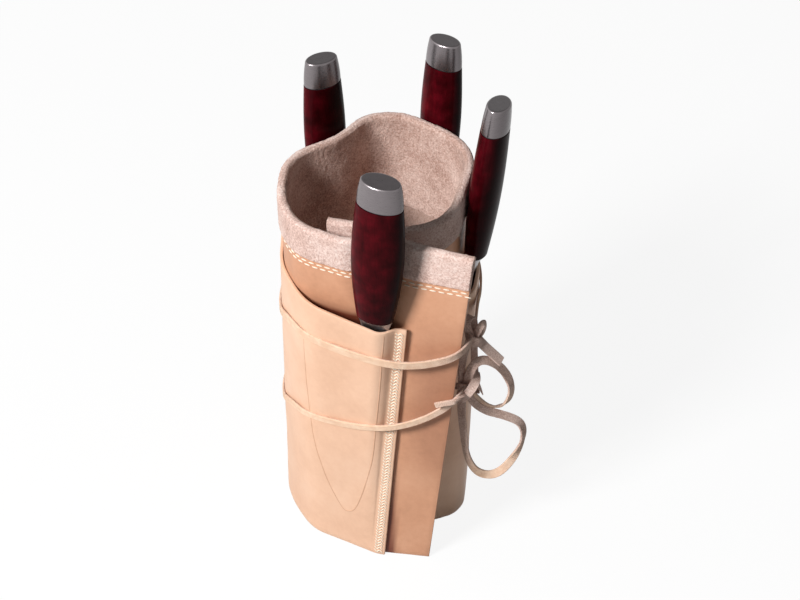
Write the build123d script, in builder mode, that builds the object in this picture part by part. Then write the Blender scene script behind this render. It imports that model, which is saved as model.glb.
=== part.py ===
"""Leather knife roll, rolled up and tied with a lace, with four kitchen knives standing in its pockets."""

import math
import os

from build123d import *

# Driving sizes in millimetres. Z is up, and the roll stands on z = 0 with its own axis on x = y = 0.
ROLL_RADIUS = 65.0
ROLL_HEIGHT = 260.0
LEATHER = 2.0
SUEDE = 1.9
FIT = 0.2

# The rolled panel, at the foot, at its waist below the knives' handles and at the rim. Its corners are
# shares of ROLL_RADIUS, from the inner end round to the free edge.
FOOT_SHARES = (
    (-0.4, -0.555), (0.695, -0.7), (0.89, 0.645), (0.26, 1.14), (-0.125, 1.11), (-0.385, 0.8),
    (-0.895, 0.46), (-0.915, -0.185), (-0.8, -0.595), (-0.138, -0.903), (-0.062, -0.931),
    (-0.046, -1.105), (0.514, -1.189),
)
WAIST_SHARES = (
    (-0.454, -0.534), (0.648, -0.718), (0.947, 0.624), (0.26, 1.144), (-0.125, 1.121), (-0.374, 0.779),
    (-0.916, 0.46), (-0.951, -0.185), (-0.789, -0.588), (-0.208, -0.86), (0.038, -0.882),
    (0.192, -0.985), (0.795, -1.109),
)
RIM_SHARES = (
    (-0.475, -0.5), (0.63, -0.725), (0.97, 0.615), (0.26, 1.145), (-0.125, 1.125), (-0.37, 0.77),
    (-0.925, 0.46), (-0.965, -0.185), (-0.785, -0.585), (-0.258, -0.826), (-0.015, -0.688),
    (0.308, -0.854), (0.905, -1.077),
)

# The pocket panel, sewn on outside the rolled panel. Shares of ROLL_RADIUS, anticlockwise from above.
# The heights of the rolled panel's waist and rim plans are shares of POCKET_HEIGHT.
POCKET_HEIGHT = 201.0
WAIST_SHARE = 0.9254
RIM_SHARE = 1.2935
MOUTH_SLOPE_SHARE = 0.1
MOUTH_ROOM = 14.0
POCKET_FOOT_SHARES = (
    (0.72, -0.62), (0.9, -0.46), (0.975, 0.08), (0.925, 0.665), (0.74, 0.885), (0.37, 1.135),
    (0.21, 1.18), (-0.11, 1.15), (-0.33, 1.03), (-0.7, 0.725), (-0.935, 0.48), (-0.985, -0.15),
    (-0.875, -0.49), (-0.692, -0.803), (-0.123, -1.085), (-0.038, -1.137), (0.054, -1.16),
)
POCKET_MOUTH_SHARES = (
    (0.7, -0.585), (0.96, -0.43), (1.045, 0.03), (0.99, 0.635), (0.844, 1.028), (0.474, 1.278),
    (0.2, 1.195), (-0.11, 1.165), (-0.361, 1.139), (-0.781, 0.915), (-0.975, 0.48), (-1, -0.185),
    (-0.87, -0.505), (-0.691, -0.806), (0.045, -1.14), (0.228, -1.009), (0.32, -1.042),
)

# The suede flap, sewn to the panel's top, turned over the rim and hanging down inside.
CUFF_DROP = 24.0
SUEDE_DROP = 74.0
RIM_CLEARANCE = 0.2

# The crown of the turned suede: height shares of its thickness, and shares of its half width.
ROOF_SHARES = ((0, 1), (0.55, 0.8), (1, 0.35))

# Knives. Each handle is a bolster, a wooden grip, a thin spacer and a steel cap, on one tang.
BLADE_THICK = 2.0
EDGE_FLAT = 6.0
HEEL_DROP = 6.0
BOLSTER = 13.0
GRIP = 91.0
SPACER = 0.8
CAP = 17.5
CAP_ROUND = 1.6
TANG_WIDTH = 9.0
TANG_THICK = 3.0
TANG_SHARE = 0.85
BOLSTER_SHARES = ((0, 0.47, 0.16), (0.45, 0.58, 0.30), (1, 0.71, 0.72))
GRIP_SHARES = ((0, 0.71, 0.72), (0.25, 0.90, 0.90), (0.55, 1, 1), (0.8, 0.965, 0.97), (1, 0.885, 0.90))
SPACER_SHARE = 0.85
CAP_SHARES = ((0, 0.875, 0.885), (0.5, 0.835, 0.84), (1, 0.74, 0.74))
BELLY_SHARES = ((0, 0.45), (0.12, 0.68), (0.42, 0.90), (0.70, 1))
SPINE_SHARES = ((0, 0.55), (0.06, 0.80), (0.30, 1))

# The four knives, in the same order in each table. A knife's place is where its bolster's foot stands, in
# shares of ROLL_RADIUS, sunk below the pocket's height. Its turns are the way its flat side faces and its
# leans outward and sideways, in degrees. A blade has its length, its width and how far its spine stands
# from the axis, and a grip its width and thickness.
KNIFE_NAMES = ("front", "right", "back", "left_back")
PLACE_SHARES = ((-0.0354, -1.0015), (0.9354, -0.1092), (0.58, 1.0938), (-0.5092, 0.9015))
KNIFE_SINKS = (5.3, 4, 8, 12)
KNIFE_ANGLES = ((-112, 0.3, 2.6), (-20, 3.6, 9), (56, 4, 0), (118, 3, 0))
BLADE_SIZES = ((168, 46, 4), (75, 26, 7), (110, 26, 7), (90, 22, 7))
GRIP_SIZES = ((34, 21), (32, 19.6), (29, 19), (28.5, 19))

# The flat lace. Its knots are tied beside the free edge, at a place in shares of ROLL_RADIUS. Routes are
# points in millimetres along its middle line, measured from that place and up from the floor.
LACE_WIDTH = 4.6
LACE_THICK = 1.6
LACE_GAP = 0.9
TIED_SHARES = (0.9231, -0.8769)
UPPER_KNOT = (9.0, 8.0, 10.0)
LOWER_KNOT = (9.0, 8.0, 11.0)
KNOT_ROUND = 2.6

# The heights at which each winding crosses the pocket panel's corners, from its seam round to the flap.
UPPER_CROSSINGS = (178, 178, 177, 167, 154, 150, 151, 153, 155, 158, 162, 168, 176, 184)
LOWER_CROSSINGS = (118, 109, 103, 88, 77, 74, 75, 77, 79, 83, 89, 98, 110, 124)
UPPER_START = ((0, 0, 187), (-4, -21, 188), (-33, -20.5, 177))
UPPER_FINISH = (1, 1, 185)
LOWER_START = ((-5, -3, 143), (-8, -22, 150), (-33, -20.5, 128))
LOWER_FINISH = (-4, -1, 142)
UPPER_TAIL = ((0, -1, 187), (4.5, -1.5, 180), (11, -2, 172.5), (18, -2, 164))
UPPER_HANGING_END = ((0, -1.5, 186), (0.8, 5, 170), (1.6, 5.8, 150), (3, 5.8, 129))
JOINING_STRAND = ((-1, -1, 187), (-5, -2, 174), (-7.4, -2.5, 160), (-6.8, -3, 143))
UPPER_LOOP = (
    (-4, -3, 143), (-2.2, -2, 157), (4, 1, 163.5), (13, 3, 159.5), (21.5, 4.5, 148.5),
    (26.5, 5, 134), (23.5, 4, 121), (14, 1, 119.5), (5, -1.5, 127), (-4, -3, 142),
)
LOWER_LOOP = (
    (-5, -3, 143), (-1, -3, 131), (8, -1.5, 120), (22, 0, 114), (33.5, 1.5, 106),
    (35.5, 2.5, 91), (29, 2.5, 71), (18, 1.5, 56), (5, -0.5, 60), (-2.5, -2.5, 78),
    (-5, -4, 103), (-7, -4.5, 127), (-6, -3, 142),
)
SHORT_END = ((-5.2, -6, 139.5), (-8.5, -26, 141), (-16, -26, 146), (-24, -24.5, 146))
POINTED_END = ((-2.5, -4, 141), (-1.7, -9.3, 146.5), (1, -12, 149.5), (4.5, -12.5, 148), (7.5, -11.5, 143))

# The share of its shorter run that each rounded corner takes up.
CORNER_SHARE = 0.45


def rounding(points):
    """The largest radius at each inner corner of a plan line, with a sign: plus turns left."""
    found = []
    for before, here, after in zip(points, points[1:], points[2:]):
        run_in = (here[0] - before[0], here[1] - before[1])
        run_out = (after[0] - here[0], after[1] - here[1])
        cross = run_in[0] * run_out[1] - run_in[1] * run_out[0]
        dot = run_in[0] * run_out[0] + run_in[1] * run_out[1]
        turn = math.atan2(cross, dot)
        run = min(math.hypot(*run_in), math.hypot(*run_out))
        found.append(math.copysign(CORNER_SHARE * run / math.tan(abs(turn) / 2), turn))
    return found


def beside(points, distance):
    """The corners of a plan line moved to its right by a distance, which is outward on an anticlockwise roll."""
    normals = []
    for here, after in zip(points, points[1:]):
        run = math.hypot(after[0] - here[0], after[1] - here[1])
        normals.append(((after[1] - here[1]) / run, (here[0] - after[0]) / run))
    moved = [(points[0][0] + normals[0][0] * distance, points[0][1] + normals[0][1] * distance)]
    for point, first, second in zip(points[1:], normals, normals[1:]):
        reach = distance / (1 + first[0] * second[0] + first[1] * second[1])
        moved.append((point[0] + (first[0] + second[0]) * reach, point[1] + (first[1] + second[1]) * reach))
    last = normals[-1]
    moved.append((points[-1][0] + last[0] * distance, points[-1][1] + last[1] * distance))
    return moved


def scaled(shares):
    """Plan shares as points in millimetres."""
    return [(x * ROLL_RADIUS, y * ROLL_RADIUS) for x, y in shares]


def between(low, high, share):
    """The corners of a plan line part of the way from a low one to a high one."""
    return [(a[0] + (b[0] - a[0]) * share, a[1] + (b[1] - a[1]) * share) for a, b in zip(low, high)]


WAIST = POCKET_HEIGHT * WAIST_SHARE
RIM = POCKET_HEIGHT * RIM_SHARE


def panel_at(height):
    """The rolled panel's middle line at a height. Above the rim's plan it stands upright."""
    if height <= WAIST:
        return between(scaled(FOOT_SHARES), scaled(WAIST_SHARES), height / WAIST)
    return between(scaled(WAIST_SHARES), scaled(RIM_SHARES), min(1, (height - WAIST) / (RIM - WAIST)))


def pocket_at(height):
    """The pocket panel's middle line at a height."""
    return between(scaled(POCKET_FOOT_SHARES), scaled(POCKET_MOUTH_SHARES), height / POCKET_HEIGHT)


def strip(points, inside, outside, height):
    """The section of a leather strip between two distances from its plan line, at a height."""
    radii = rounding(points)
    inner = beside(points, inside)
    outer = beside(points, outside)
    with BuildSketch(Plane.XY.offset(height)) as section:
        with BuildLine():
            FilletPolyline(*inner, radius=[abs(r + inside) for r in radii])
            FilletPolyline(*outer, radius=[abs(r + outside) for r in radii])
            Line(inner[0], outer[0])
            Line(inner[-1], outer[-1])
        make_face()
    return section


def wall(inside, outside, low, high):
    """The sections of a sheet that follows the rolled panel from a low height to a high one."""
    heights = [low, *(level for level in (WAIST, RIM) if low < level < high), high]
    return [strip(panel_at(height), inside, outside, height).sketch for height in heights]


# Rolled panel: one sheet of smooth leather, about one and a quarter turns.
PANEL_TOP = ROLL_HEIGHT - SUEDE - RIM_CLEARANCE
with BuildPart() as back_panel:
    loft(wall(-LEATHER / 2, LEATHER / 2, 0, PANEL_TOP), ruled=True)
back_panel.part.label = "back_panel"

# Pocket panel: a second sheet outside it, whose mouth is cut on a slight slope.
with BuildPart() as pocket_panel:
    foot = strip(pocket_at(0), -LEATHER / 2, LEATHER / 2, 0)
    high = POCKET_HEIGHT + MOUTH_ROOM
    top = strip(pocket_at(high), -LEATHER / 2, LEATHER / 2, high)
    loft([foot.sketch, top.sketch], ruled=True)
    mouth = Plane((0, 0, POCKET_HEIGHT), z_dir=(MOUTH_SLOPE_SHARE, 0, 1))
    split(bisect_by=mouth, keep=Keep.BOTTOM)
pocket_panel.part.label = "pocket_panel"


# Suede flap: an outer cuff and an inner lining, joined over the panel's top edge.
SUEDE_NEAR = LEATHER / 2 + FIT
SUEDE_FAR = SUEDE_NEAR + SUEDE
ROOF = ROLL_HEIGHT - SUEDE
with BuildPart() as suede_flap:
    loft(wall(SUEDE_NEAR, SUEDE_FAR, ROLL_HEIGHT - CUFF_DROP, ROOF), ruled=True)
    loft(wall(-SUEDE_FAR, -SUEDE_NEAR, ROLL_HEIGHT - SUEDE_DROP, ROOF), ruled=True)
    crown = []
    for rise_share, half_share in ROOF_SHARES:
        height = ROOF + SUEDE * rise_share
        crown.append(strip(panel_at(height), -SUEDE_FAR * half_share, SUEDE_FAR * half_share, height).sketch)
    loft(crown, ruled=True)
suede_flap.part.label = "suede_flap"


def knife_frame(base, azimuth, out_lean, side_lean):
    """The knife's own frame: X across the blade towards its spine, Z up the handle's axis."""
    out = Vector(math.cos(math.radians(azimuth)), math.sin(math.radians(azimuth)), 0)
    side = Vector(-out.Y, out.X, 0)
    up = Vector(0, 0, 1) + out * math.tan(math.radians(out_lean)) + side * math.tan(math.radians(side_lean))
    return Plane(origin=base, x_dir=side - up * (side.dot(up) / up.dot(up)), z_dir=up)


def make_knife(name, frame, blade_length, blade_width, spine_side, grip_width, grip_thick):
    """Blade with its tang, bolster, wooden handle, spacer ring and end cap of one knife."""
    face = Plane(origin=frame.origin, x_dir=frame.x_dir, z_dir=-frame.y_dir)
    edge_side = spine_side - blade_width
    tang_top = BOLSTER + GRIP * TANG_SHARE
    with BuildPart() as blade:
        with BuildSketch(face):
            with BuildLine():
                belly = [(edge_side + blade_width * x, -blade_length * y) for x, y in BELLY_SHARES]
                back = [(spine_side - blade_width * x, -blade_length * y) for x, y in SPINE_SHARES]
                Polyline((edge_side, -HEEL_DROP), (edge_side + HEEL_DROP, 0), (spine_side, 0))
                Line((spine_side, 0), back[0])
                Spline(*back, tangents=[(0, -1), (-1, -1)])
                Spline(*reversed(belly), tangents=[(-1, 1), (0, 1)])
                Line(belly[0], (edge_side, -HEEL_DROP))
            make_face()
        extrude(amount=BLADE_THICK / 2, both=True)
        slant = BLADE_THICK / 2 / blade_width
        for way in (1, -1):
            ground = Plane(
                origin=frame.origin + frame.x_dir * (edge_side - EDGE_FLAT),
                z_dir=frame.y_dir * way - frame.x_dir * slant,
            )
            split(bisect_by=ground, keep=Keep.BOTTOM)
        with BuildSketch(face):
            with Locations((0, tang_top / 2)):
                Rectangle(TANG_WIDTH, tang_top)
        extrude(amount=TANG_THICK / 2, both=True)
    blade.part.label = f"{name}_blade"

    def ovals(start, length, shares):
        """Oval sections up the axis, in shares of the handle's width and thickness."""
        found = []
        for along_share, wide_share, thick_share in shares:
            with BuildSketch(frame.offset(start + length * along_share)) as oval:
                Ellipse(grip_width / 2 * wide_share, grip_thick / 2 * thick_share)
            found.append(oval.sketch)
        return found

    with BuildSketch(frame) as slot:
        Rectangle(TANG_WIDTH + 2 * FIT, TANG_THICK + 2 * FIT)

    with BuildPart() as bolster:
        loft(ovals(0, BOLSTER, BOLSTER_SHARES))
        extrude(slot.sketch, amount=tang_top + FIT, mode=Mode.SUBTRACT)
    bolster.part.label = f"{name}_bolster"

    with BuildPart() as handle:
        loft(ovals(BOLSTER, GRIP, GRIP_SHARES))
        extrude(slot.sketch, amount=tang_top + FIT, mode=Mode.SUBTRACT)
    handle.part.label = f"{name}_handle"

    with BuildPart() as spacer:
        with BuildSketch(frame.offset(BOLSTER + GRIP)):
            Ellipse(grip_width / 2 * SPACER_SHARE, grip_thick / 2 * SPACER_SHARE)
        extrude(amount=SPACER)
    spacer.part.label = f"{name}_spacer"

    with BuildPart() as end_cap:
        loft(ovals(BOLSTER + GRIP + SPACER, CAP, CAP_SHARES))
        top = end_cap.faces().sort_by(Axis(frame.origin, frame.z_dir))[-1]
        fillet(top.edges(), CAP_ROUND)
    end_cap.part.label = f"{name}_end_cap"
    return [blade, bolster, handle, spacer, end_cap]


knives = []
for name, place, sink, angles, blade_sizes, grip_sizes in zip(
    KNIFE_NAMES, scaled(PLACE_SHARES), KNIFE_SINKS, KNIFE_ANGLES, BLADE_SIZES, GRIP_SIZES
):
    foot = (*place, POCKET_HEIGHT - sink)
    knives += make_knife(name, knife_frame(foot, *angles), *blade_sizes, *grip_sizes)


def lace_radii(points):
    """The largest radius at each bend of a lace route."""
    found = []
    for before, here, after in zip(points, points[1:], points[2:]):
        run_in = Vector(here) - Vector(before)
        run_out = Vector(after) - Vector(here)
        half = math.radians(run_in.get_angle(run_out)) / 2
        found.append(CORNER_SHARE * min(run_in.length, run_out.length) / math.tan(half))
    return found


TIED = (ROLL_RADIUS * TIED_SHARES[0], ROLL_RADIUS * TIED_SHARES[1], 0)


def placed(points):
    """Route points measured from the place where the lace is tied, as points on the roll."""
    return [tuple(Vector(point) + Vector(TIED)) for point in points]


def lace(name, points, across, knots):
    """A flat lace along a route, its width kept along one direction, trimmed where it enters its knots."""
    radii = lace_radii(points)
    with BuildPart() as run:
        with BuildLine() as route:
            FilletPolyline(*points, radius=radii)
        path = route.wires()[0]
        with BuildSketch(Plane(origin=path @ 0, x_dir=across, z_dir=path % 0)):
            Rectangle(LACE_WIDTH, LACE_THICK)
        sweep(path=path, binormal=path.moved(Location(Vector(across) * LACE_WIDTH)))
        for knot in knots:
            add(knot.part, mode=Mode.SUBTRACT)
    run.part.label = name
    print(name, "route", round(path.length), "mm, least radius", round(min(radii), 1), "mm")
    return run


def lace_knot(name, centre, size):
    """The lump of a tied knot."""
    with BuildPart() as lump:
        with Locations(centre):
            Box(*size)
        fillet(lump.edges(), KNOT_ROUND)
    lump.part.label = name
    return lump


def crossing_points(crossings):
    """The winding's bends, held off the pocket panel's outer face."""
    reach = LEATHER / 2 + LACE_GAP + LACE_THICK / 2
    found = []
    for corner, height in zip(range(len(crossings), 0, -1), crossings):
        x, y = beside(pocket_at(height), reach)[corner]
        found.append((x, y, height))
    return found


upper_start = placed(UPPER_START)
lower_start = placed(LOWER_START)
upper_knot = lace_knot("lace_upper_knot", upper_start[0], UPPER_KNOT)
lower_knot = lace_knot("lace_lower_knot", lower_start[0], LOWER_KNOT)
upper_route = [*upper_start, *crossing_points(UPPER_CROSSINGS), *placed([UPPER_FINISH])]
lower_route = [*lower_start, *crossing_points(LOWER_CROSSINGS), *placed([LOWER_FINISH])]
laces = [
    upper_knot,
    lower_knot,
    lace("lace_upper_winding", upper_route, (0, 0, 1), [upper_knot]),
    lace("lace_lower_winding", lower_route, (0, 0, 1), [lower_knot]),
    lace("lace_upper_tail", placed(UPPER_TAIL), (0, 1, 0), [upper_knot]),
    lace("lace_hanging_end", placed(UPPER_HANGING_END), (0, 1, 0), [upper_knot]),
    lace("lace_joining_strand", placed(JOINING_STRAND), (0, 1, 0), [upper_knot, lower_knot]),
    lace("lace_upper_loop", placed(UPPER_LOOP), (0, 1, 0), [lower_knot]),
    lace("lace_lower_loop", placed(LOWER_LOOP), (0, 1, 0), [lower_knot]),
    lace("lace_short_end", placed(SHORT_END), (0, 0, 1), [lower_knot]),
    lace("lace_pointed_end", placed(POINTED_END), (0, 1, 0), [lower_knot]),
]

# The origin is moved to the middle of the foot of the box round everything but the lace.
sheets = [back_panel, pocket_panel, suede_flap]
reach = Compound([piece.part for piece in sheets + knives]).bounding_box().center()
centred = Location((-reach.X, -reach.Y, 0))
print("roll axis from the origin", round(-reach.X, 3), round(-reach.Y, 3))

os.makedirs("parts", exist_ok=True)
for piece in sheets + laces + knives:
    label = piece.part.label
    moved = piece.part.moved(centred)
    moved.label = label
    export_step(moved, f"parts/{label}.step")
    print(label, moved.is_valid, round(moved.volume), len(moved.solids()))
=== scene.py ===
"""Looks of a leather knife roll, rolled up and tied with a lace, with four kitchen knives in its pockets.
Lengths are in metres. Steps and rows are counts, and shares go from 0 to 1."""

import math

import bmesh
import bpy
from mathutils import Matrix, Vector, noise


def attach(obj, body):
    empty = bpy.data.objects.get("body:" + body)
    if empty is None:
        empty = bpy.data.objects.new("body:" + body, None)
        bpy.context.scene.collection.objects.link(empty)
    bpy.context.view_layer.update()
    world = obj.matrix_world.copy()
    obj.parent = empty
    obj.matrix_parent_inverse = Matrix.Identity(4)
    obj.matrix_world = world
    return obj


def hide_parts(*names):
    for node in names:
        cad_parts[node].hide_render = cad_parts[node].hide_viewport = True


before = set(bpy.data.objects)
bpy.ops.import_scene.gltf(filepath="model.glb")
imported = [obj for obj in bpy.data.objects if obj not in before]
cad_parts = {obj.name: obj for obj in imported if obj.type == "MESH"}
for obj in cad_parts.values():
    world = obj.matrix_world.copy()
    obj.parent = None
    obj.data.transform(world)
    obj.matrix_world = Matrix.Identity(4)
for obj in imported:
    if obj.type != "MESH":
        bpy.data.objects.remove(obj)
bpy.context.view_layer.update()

# The view: the roll is seen from in front and well above, through a long lens.
view = bpy.data.cameras.new("camera")
view.lens = 102.06
view.sensor_width = 36
camera = bpy.data.objects.new("camera", view)
camera.location = (0.0054, -1.1059, 1.1551)
camera.rotation_euler = (math.radians(48), 0, 0)
bpy.context.scene.collection.objects.link(camera)
bpy.context.scene.camera = camera
bpy.context.scene.view_settings.view_transform = "Standard"


# The rolled panel: one sheet of smooth vegetable-tanned leather, 2 mm thick, bent round one and a
# quarter turns. It is cut from the hide with clean edges, and nothing but the lace holds it shut.
LEATHER, LEATHER_EDGE, CUT_ANGLE = 0.002, 0.0004, math.radians(50)
HANDWORK_WAVES = ((30, 0.0004), (90, 0.0002))
CORNER_SHARE = 0.45
ARC_STEPS = 10
RUN_STEP = 0.004
PANEL_TOP, PANEL_ROWS = 0.2579, 64
PANEL_HEIGHTS = (0, 0.166, 0.172, 0.178, 0.184, 0.19, 0.196, 0.206, 0.260)
FOOT_HEIGHT, WAIST_HEIGHT, RIM_HEIGHT = 0.0, 0.186, 0.260
WAIST_BLEND = 0.02
PANEL_FOOT = (
    (-0.0344, -0.0405), (0.0368, -0.0499), (0.0495, 0.0375), (0.0085, 0.0697), (-0.0165, 0.0677),
    (-0.0334, 0.0476), (-0.0665, 0.0255), (-0.0678, -0.0165), (-0.0604, -0.0431), (-0.0173, -0.0631),
    (-0.0124, -0.065), (-0.0113, -0.0763), (0.0251, -0.0817),
)
PANEL_WAIST = (
    (-0.0379, -0.0391), (0.0338, -0.0511), (0.0532, 0.0361), (0.0085, 0.0699), (-0.0165, 0.0684),
    (-0.0327, 0.0462), (-0.0667, 0.0255), (-0.0681, -0.0165), (-0.0584, -0.0414), (-0.0219, -0.0572),
    (-0.0059, -0.0605), (0.0041, -0.0685), (0.0433, -0.0765),
)
PANEL_RIM = (
    (-0.0392, -0.0369), (0.0326, -0.0516), (0.0547, 0.0355), (0.0085, 0.07), (-0.0165, 0.0687),
    (-0.0324, 0.0456), (-0.0669, 0.0255), (-0.069, -0.0165), (-0.0582, -0.0417), (-0.0251, -0.0581),
    (-0.0093, -0.0492), (0.0117, -0.0599), (0.0505, -0.0744),
)
# Painted shade on the panel's outer side: deep in the pockets below the mouth, and in a band on the free
# edge between the windings.
FRONT, FREE_EDGE = -0.048, -0.06
POCKET_SIDE, POCKET_SHADE_TOP, SHADE_FADE = 0.004, 0.2025, 0.004
EDGE_SHADE_HEIGHT, EDGE_SHADE_REACH, EDGE_SHADE_START, EDGE_SHADE_DEPTH = 0.135, 0.075, 0.02, 0.38


def bent_line(corners, steps):
    """Points of a plan line with its corners rounded, each with the direction that faces outward."""
    corners = [Vector(corner) for corner in corners]
    line = []
    reached = corners[0]
    for number, here in enumerate(corners[1:-1], 1):
        run_in, run_out = here - corners[number - 1], corners[number + 1] - here
        cut = CORNER_SHARE * min(run_in.length, run_out.length)
        turn = math.atan2(run_in.x * run_out.y - run_in.y * run_out.x, run_in.dot(run_out))
        radius = math.copysign(cut / math.tan(abs(turn) / 2), turn)
        heading = run_in.normalized()
        outward = Vector((heading.y, -heading.x))
        start = here - heading * cut
        for step in range(steps[number - 1]):
            line.append((reached.lerp(start, step / steps[number - 1]), outward))
        for step in range(ARC_STEPS):
            bend = Matrix.Rotation(turn * step / ARC_STEPS, 2)
            line.append((start + bend @ (outward * radius) - outward * radius, bend @ outward))
        reached = here + run_out.normalized() * cut
    heading = (corners[-1] - corners[-2]).normalized()
    outward = Vector((heading.y, -heading.x))
    for step in range(steps[-1] + 1):
        line.append((reached.lerp(corners[-1], step / steps[-1]), outward))
    return line


def run_steps(corners):
    """How many steps each straight run of a plan line is cut into."""
    return [math.ceil(math.dist(a, b) / RUN_STEP) for a, b in zip(corners, corners[1:])]


def panel_corners(height):
    """The corners of the rolled panel's plan at a height, with the change at its waist eased."""
    low, high = (WAIST_HEIGHT, RIM_HEIGHT) if height > WAIST_HEIGHT else (FOOT_HEIGHT, WAIST_HEIGHT)
    under, over = (PANEL_WAIST, PANEL_RIM) if height > WAIST_HEIGHT else (PANEL_FOOT, PANEL_WAIST)
    share = (height - low) / (high - low)
    nearness = max(0, WAIST_BLEND - abs(height - WAIST_HEIGHT)) ** 2 / 4 / WAIST_BLEND
    corners = []
    for a, b, foot, waist, rim in zip(under, over, PANEL_FOOT, PANEL_WAIST, PANEL_RIM):
        point = Vector(a).lerp(Vector(b), share)
        lean_above = (Vector(rim) - Vector(waist)) / (RIM_HEIGHT - WAIST_HEIGHT)
        lean_below = (Vector(waist) - Vector(foot)) / WAIST_HEIGHT
        corners.append(point + (lean_above - lean_below) * nearness)
    return corners


def spot(levels, number, height):
    """The point of a sheet's middle at a numbered step of its line and a height, and its outward side."""
    for (low, under), (high, over) in zip(levels, levels[1:]):
        if height <= high or high == levels[-1][0]:
            share = (height - low) / (high - low)
            point = under[number][0].lerp(over[number][0], share)
            outward = under[number][1].lerp(over[number][1], share).normalized()
            return Vector((*point, height)), Vector((*outward, 0))


def soft(point):
    """How far hand-worked leather stands out at a point, beyond its plain bend."""
    return sum(depth * noise.noise(point * pitch) for pitch, depth in HANDWORK_WAVES)


def climb(distance, low, high, rows):
    """Evenly spaced places of a section at one distance, from a low height up to a high one."""
    return [(distance, low + (high - low) * row / rows) for row in range(rows + 1)]


def leather_wall(top, rows):
    """The section of an upright leather wall: up its outer side and down its inner one."""
    return [*climb(LEATHER / 2, 0, top, rows), *reversed(climb(-LEATHER / 2, 0, top, rows))]


def skinned(name, made, rings, inner=None):
    """A smooth closed piece over rings of points. Faces between two inner places of the rings take the
    piece's second finish."""
    count = len(rings[0])
    for ring, after in zip(rings, rings[1:]):
        for number in range(count):
            beyond = (number + 1) % count
            face = made.faces.new((ring[number], ring[beyond], after[beyond], after[number]))
            if inner:
                face.material_index = int(inner[number] and inner[beyond])
    made.faces.new(rings[0])
    made.faces.new(reversed(rings[-1]))
    bmesh.ops.recalc_face_normals(made, faces=made.faces)
    for face in made.faces:
        face.smooth = True
    mesh = bpy.data.meshes.new(name)
    made.to_mesh(mesh)
    made.free()
    piece = bpy.data.objects.new(name, mesh)
    bpy.context.scene.collection.objects.link(piece)
    return piece


def standing_sheet(name, levels, section, slope=0.0, mouth=1.0, painted_shade=None):
    """A closed sheet whose upright section, distances out of its middle and heights, follows its line.
    Its heights fall with the slope to the right; its shade function tells how much painted shade darkens
    its outer side at a place."""
    made = bmesh.new()
    layer = made.verts.layers.float.new("painted_shade")
    rings = []
    for number in range(len(levels[0][1])):
        ring = []
        for distance, height in section:
            middle, outward = spot(levels, number, height)
            middle, outward = spot(levels, number, height * (1 - slope * middle.x / mouth))
            vertex = made.verts.new(middle + outward * (distance + soft(middle)))
            vertex[layer] = painted_shade(middle) if painted_shade and distance > 0 else 0
            ring.append(vertex)
        rings.append(ring)
    return skinned(name, made, rings, [distance < 0 for distance, _ in section])


def round_edges(piece, width, segments):
    """Rounds the cut edges of a sheet."""
    bevel = piece.modifiers.new("cut edges", "BEVEL")
    bevel.width = width
    bevel.segments = segments
    bevel.limit_method = "ANGLE"
    bevel.angle_limit = CUT_ANGLE


def node(tree, kind, **settings):
    """A shader or geometry node of a kind, with its properties and its inputs set."""
    made = tree.nodes.new(kind)
    for key, value in settings.items():
        if hasattr(made, key):
            setattr(made, key, value)
        else:
            made.inputs[key.replace("_", " ")].default_value = value
    return made


def new_finish(name, **settings):
    """A new material, its tree, its surface shader with inputs set, and the places on its piece."""
    made = bpy.data.materials.new(name)
    made.use_nodes = True
    tree = made.node_tree
    surface = tree.nodes["Principled BSDF"]
    for key, value in settings.items():
        surface.inputs[key.replace("_", " ")].default_value = value
    return made, tree, surface, node(tree, "ShaderNodeTexCoord").outputs["Object"]


def pattern(tree, place, kind="ShaderNodeTexNoise", **settings):
    """A texture node, laid out over places."""
    made = node(tree, kind, **settings)
    tree.links.new(place, made.inputs["Vector"])
    return made


def added(tree, first, share, second):
    """A share of a first value, added to a second one."""
    made = node(tree, "ShaderNodeMath", operation="MULTIPLY_ADD")
    tree.links.new(first, made.inputs[0])
    made.inputs[1].default_value = share
    tree.links.new(second, made.inputs[2])
    return made.outputs[0]


def spread(tree, source, **ends):
    """A value brought from one span to another."""
    made = node(tree, "ShaderNodeMapRange", **ends)
    tree.links.new(source, made.inputs["Value"])
    return made.outputs["Result"]


def ramp(tree, source, stops):
    """A colour ramp on a source, with stops of a place and a colour."""
    made = node(tree, "ShaderNodeValToRGB")
    tree.links.new(source, made.inputs["Fac"])
    for number, (place, colour) in enumerate(stops):
        if number > 1:
            made.color_ramp.elements.new(place)
        made.color_ramp.elements[number].position = place
        made.color_ramp.elements[number].color = (*colour, 1)
    return made.outputs["Color"]


def mixed_colour(tree, share, first, second, way="MIX"):
    """A colour socket that goes over to a second colour, or is multiplied with it, by a share."""
    made = node(tree, "ShaderNodeMix", data_type="RGBA", blend_type=way)
    tree.links.new(share, made.inputs[0])
    tree.links.new(first, made.inputs[6])
    if isinstance(second, tuple):
        made.inputs[7].default_value = (*second, 1)
    else:
        tree.links.new(second, made.inputs[7])
    return made.outputs[2]


def bump(tree, heights, strength, distance, surface):
    """Bump from a height socket, into a surface shader."""
    made = node(tree, "ShaderNodeBump", Strength=strength, Distance=distance)
    tree.links.new(heights, made.inputs["Height"])
    tree.links.new(made.outputs["Normal"], surface.inputs["Normal"])


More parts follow.
